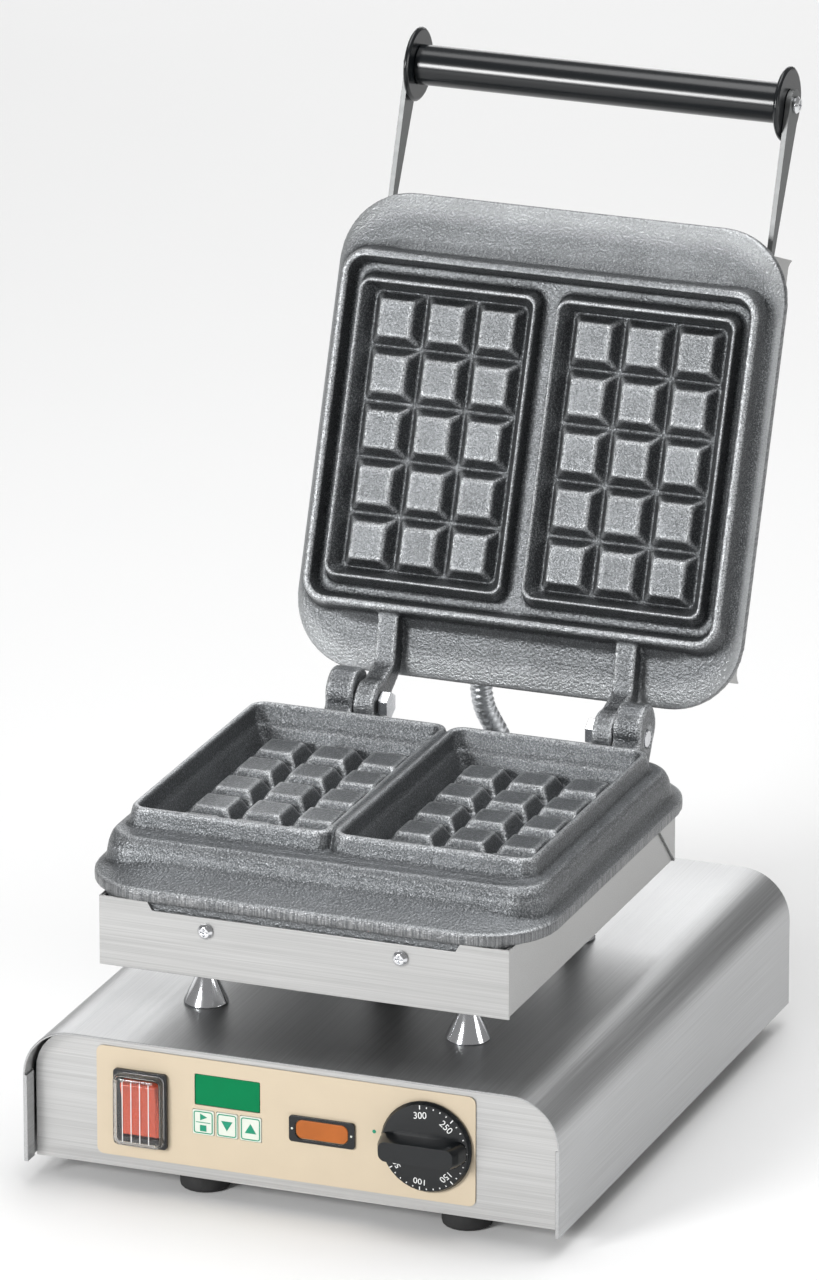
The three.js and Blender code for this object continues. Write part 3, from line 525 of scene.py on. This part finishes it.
# ---- Supply inlet, wiring and the parts inside the base ----
# An appliance inlet is snapped into the rear panel. Inside are a terminal block, the timer's
# circuit board and the thermostat, whose copper capillary goes up to the housing. A rubber
# sleeve takes the heater's leads up.
BOARD = plastic("circuit_board", (0.01, 0.11, 0.04), 0.4, mottle=0.3)
COPPER = brushed_steel("copper_tube", (0.75, 0.38, 0.25), 0.3, (400, 400, 400))
for node, material in {
    "supply_inlet": BLACK_SATIN,
    "terminal_block": BLACK_SATIN,
    "timer_board": BOARD,
    "thermostat_body": ZINC,
    "thermostat_capillary": COPPER,
    "lead_sleeve": RUBBER,
}.items():
    refined(node, material, edge=0.0002)


# ---- Cone spacers ----
# Four cones turned from steel and polished bright. They stand between the base's cover and the
# hot housing, and keep the heat away from the controls.
POLISHED = Finish("polished_chrome", Base_Color=(0.8, 0.81, 0.83, 1), Metallic=1.0)
POLISHED.drive("Roughness", POLISHED.spread(POLISHED.noise(90), 0.3, 0.7, 0.06, 0.16))
for corner in CORNERS:
    refined("spacer_" + corner, POLISHED.material, edge=0.0004, steps=2)


# ---- Lower housing ----
# A steel tray is folded up round the lower heater, with a panel at each end. Four bright
# cross-head screws hold the panels on.
STEEL_HOUSING = brushed_steel("steel_housing", (0.52, 0.52, 0.515), 0.46, CROSSWISE)


def housing(level, sheets):
    """The sheets, screws and heater of one housing, lower or upper."""
    for sheet in sheets:
        refined(sheet, STEEL_HOUSING, edge=0.0003)
    for corner in CORNERS:
        refined(level + "_screw_" + corner, POLISHED.material, edge=0.0002)
    refined(level + "_heater", ZINC, edge=0)


housing("lower", ("lower_tray", "lower_front_panel", "lower_rear_panel"))


# ---- Cast plates ----
# Two sand-cast iron plates of about 10 kg, each with 30 studs. The iron is seasoned dark, with
# painted highlights along its edges, painted shade in its hollows and painted light on the faces
# that face the other plate, and the rim of the flange is ground.
VOXEL = 0.0012
SMOOTHING_PASSES = 6
KEPT_TRIANGLES = 0.42
FLANGE_FOOT = 0.028
FLANGE_EDGE = 0.0208
FLANGE_SHOULDER = 0.0175
GRINDING_LINES = 1400
ALONG_GRINDING = 20
# Colour of the painted shade in hollows and creases.
CREVICE_SHADE = (0.03, 0.033, 0.036)
BARE_SPECK = (0.44, 0.455, 0.47)
# Colour of the painted highlight on convex edges.
EDGE_HIGHLIGHT = (0.56, 0.575, 0.59)
GROUND_DARK = (0.13, 0.136, 0.142)
GROUND_BRIGHT = (0.27, 0.275, 0.28)


def cast_iron(name, facing, parting, lit_face_tone, shaded_slope_tone, flange_tone):
    """Iron painted lighter where it faces the other plate and darker on its slopes, as painted light
    and shade, with painted shade in its hollows and painted highlights on its ridges. Parting is
    how far the face that meets the other plate lies in the facing direction."""
    finish = Finish(name, Metallic=0.7)
    lumps = finish.noise(640, 4)
    grain = finish.noise(1150, 3)
    cloud = finish.spread(finish.noise(26, 3), 0.35, 0.65, 0, 1)

    def clouded(tone, shadow):
        return finish.blend(cloud, tuple(shadow * part for part in tone), tone)

    spot = finish.node("TexCoord", {})
    height = finish.along(spot.outputs["Object"], facing)
    # Painted light and shade: faces turned towards the other plate get the lighter tone, slopes the darker
    # one.
    painted_light_facing = finish.spread(finish.along(spot.outputs["Normal"], facing), 0.6, 0.96, 0, 1)
    iron = finish.blend(painted_light_facing, clouded(shaded_slope_tone, 0.8), clouded(lit_face_tone, 0.76))
    shoulder = parting - FLANGE_SHOULDER
    on_flange = finish.spread(height, shoulder - 0.001, shoulder + 0.001, 1, 0)
    iron = finish.blend(on_flange, iron, clouded(flange_tone, 0.85))

    curve = finish.node("NewGeometry", {}).outputs["Pointiness"]
    # Painted shade: hollows, where the pointiness falls below a half, are darkened towards the shade
    # colour.
    iron = finish.blend(finish.spread(curve, 0.47, 0.498, 0.6, 0), iron, CREVICE_SHADE)
    iron = finish.blend(finish.spread(grain, 0.47, 0.68, 0, 0.42), iron, BARE_SPECK)
    # Painted highlight: convex ridges, broken up by the grain, are lightened towards the highlight colour.
    ridges = finish.spread(curve, 0.502, 0.53, 0, 1)
    edge_highlight = finish.combine("MULTIPLY", ridges, finish.spread(grain, 0.4, 0.58, 0.25, 1))
    iron = finish.blend(edge_highlight, iron, EDGE_HIGHLIGHT)

    foot = parting - FLANGE_FOOT
    edge = parting - FLANGE_EDGE
    above_foot = finish.spread(height, foot - 0.0005, foot + 0.0005, 0, 1)
    below_edge = finish.spread(height, edge - 0.0004, edge + 0.0004, 1, 0)
    rim = finish.combine("MULTIPLY", above_foot, below_edge)
    stretch = tuple(GRINDING_LINES - (GRINDING_LINES - ALONG_GRINDING) * abs(part) for part in facing)
    lines = finish.spread(finish.noise(1, 3, stretch), 0.4, 0.6, 0, 1)
    machined = finish.blend(lines, GROUND_DARK, GROUND_BRIGHT)
    finish.drive("Base Color", finish.blend(rim, iron, machined))

    finish.drive("Roughness", finish.spread(finish.noise(2400, 2), 0.3, 0.7, 0.26, 0.4))
    relief = finish.combine("ADD", lumps, finish.spread(grain, 0, 1, 0, 0.45))
    finish.bump(relief, 0.65, 0.0011)
    return finish.material


def casting(node, material):
    """The plate with every edge softened as sand leaves it."""
    blank = bpy.data.objects.new(node + "_blank", as_mesh(node + "_rough", merged_copy(node)))
    bpy.context.scene.collection.objects.link(blank)
    skin = blank.modifiers.new("skin", "REMESH")
    skin.mode = "VOXEL"
    skin.voxel_size = VOXEL
    soften = blank.modifiers.new("soften", "SMOOTH")
    soften.iterations = SMOOTHING_PASSES
    thin = blank.modifiers.new("thin", "DECIMATE")
    thin.ratio = KEPT_TRIANGLES
    mesh = bpy.data.meshes.new_from_object(blank.evaluated_get(bpy.context.evaluated_depsgraph_get()))
    mesh.name = node + "_mesh"
    bpy.data.objects.remove(blank)
    mesh.materials.clear()
    mesh.materials.append(material)
    mesh.shade_smooth()
    place_object(node + "_casting", mesh, BODY_OF[node], [node])


LOWER_PARTING = 0.197
UPPER_PARTING_CLOSED = 0.1974
lid_joint = RECORD["behaviour"]["joints"][0]
hinge = Vector(lid_joint["pos_m"])
lean = radians(180 - lid_joint["range_deg"][1])
lid_facing = Vector((0, -sin(lean), cos(lean)))
upper_parting = hinge.dot(lid_facing) - (UPPER_PARTING_CLOSED - hinge.z)
# Both plates are the same iron; the lid is given lighter face and flange tones and a darker slope tone as
# painted light and shade.
casting("lower_plate", cast_iron(
    "lower_iron", (0, 0, 1), LOWER_PARTING,
    lit_face_tone=(0.15, 0.159, 0.168), shaded_slope_tone=(0.11, 0.117, 0.123), flange_tone=(0.17, 0.179, 0.187)))
casting("upper_plate", cast_iron(
    "upper_iron", tuple(lid_facing), upper_parting,
    lit_face_tone=(0.2, 0.21, 0.218), shaded_slope_tone=(0.065, 0.069, 0.073), flange_tone=(0.4, 0.413, 0.423)))


# ---- Hinge bolts ----
# Two bright steel bolts, one through each pair of ears on the two plates. The lid turns on
# them.
BOLT_STEEL = brushed_steel("bolt_steel", (0.7, 0.71, 0.73), 0.24, (200, 200, 200))
for side in ("left", "right"):
    refined("hinge_bolt_" + side, BOLT_STEEL, edge=0.0004, steps=2)


# ---- Conduit ----
# A wound metal hose carries the upper heater's leads from the lower housing to the hood. It
# ends in a zinc-plated gland at each housing. The real hose bends as the lid moves; here it is
# built as one fixed curve.
HOSE_ROUTE = [Vector(point) for point in (
    (0.008, 0.042, 0.150), (0.008, 0.0517, 0.150), (0.006, 0.0737, 0.141), (-0.002, 0.0997, 0.130),
    (-0.012, 0.1237, 0.134), (-0.021, 0.1317, 0.152), (-0.027, 0.1217, 0.174), (-0.029, 0.1207, 0.1929),
    (-0.029, 0.1236, 0.2007))]
HOSE_RADIUS = 0.0067
HOSE_STEPS = 22
TURN_PROFILE = (1.0, 0.97, 0.88, 0.97)


def smooth_route(points, steps):
    """Points close together on one smooth curve through the given ones."""
    ends = [2 * points[0] - points[1], *points, 2 * points[-1] - points[-2]]
    fine = []
    for first, second, third, fourth in zip(ends, ends[1:], ends[2:], ends[3:]):
        for step in range(steps):
            t = step / steps
            bend = 2 * first - 5 * second + 4 * third - fourth
            twist = 3 * (second - third) + fourth - first
            fine.append(0.5 * (2 * second + (third - first) * t + bend * t * t + twist * t ** 3))
    return [*fine, points[-1]]


for node in ("conduit_gland_lower", "conduit_gland_upper"):
    refined(node, ZINC, edge=0.0005, steps=2)
hose_curve = bpy.data.curves.new("hose", "CURVE")
hose_curve.dimensions = "3D"
hose_curve.bevel_depth = HOSE_RADIUS
hose_curve.bevel_resolution = 4
hose_curve.use_fill_caps = True
hose_points = smooth_route(HOSE_ROUTE, HOSE_STEPS)
hose_line = hose_curve.splines.new("POLY")
hose_line.points.add(len(hose_points) - 1)
for number, (point, spot) in enumerate(zip(hose_line.points, hose_points)):
    point.co = (*spot, 1)
    point.radius = TURN_PROFILE[number % len(TURN_PROFILE)]
hose_holder = bpy.data.objects.new("hose", hose_curve)
hose_mesh = bpy.data.meshes.new_from_object(hose_holder)
bpy.data.objects.remove(hose_holder)
hose_mesh.materials.clear()
hose_mesh.materials.append(ZINC)
hose_mesh.shade_smooth()
hose = bpy.data.objects.new("conduit_hose", hose_mesh)
bpy.context.scene.collection.objects.link(hose)
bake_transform(hose)
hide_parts("conduit")


# ---- Hood ----
# The same folded tray and end panels as the lower housing, of the same brushed steel. Four
# screws hold the panels over the upper heater, and the hood covers the back of the upper plate.
housing("upper", ("hood_shell", "hood_handle_panel", "hood_hinge_panel"))


# ---- Handle ----
# A black plastic grip tube between two flanged discs, on a steel rod with a screw at each end.
# Two flat steel arms hold it well clear of the hot plates.
# The arms' steel is given a much darker tone than the other steel, as painted shade.
STEEL_ARMS_SHADED = brushed_steel("steel_arms", (0.22, 0.225, 0.225), 0.48, (9, 9, 240))
for side in ("left", "right"):
    refined("handle_arm_" + side, STEEL_ARMS_SHADED, edge=0.0004, steps=2)
    refined("grip_disc_" + side, BLACK_GLOSS, edge=0.0004, steps=2)
refined("grip_tube", BLACK_GLOSS, edge=0.0004, steps=2)
refined("grip_bolt", POLISHED.material, edge=0.0003)
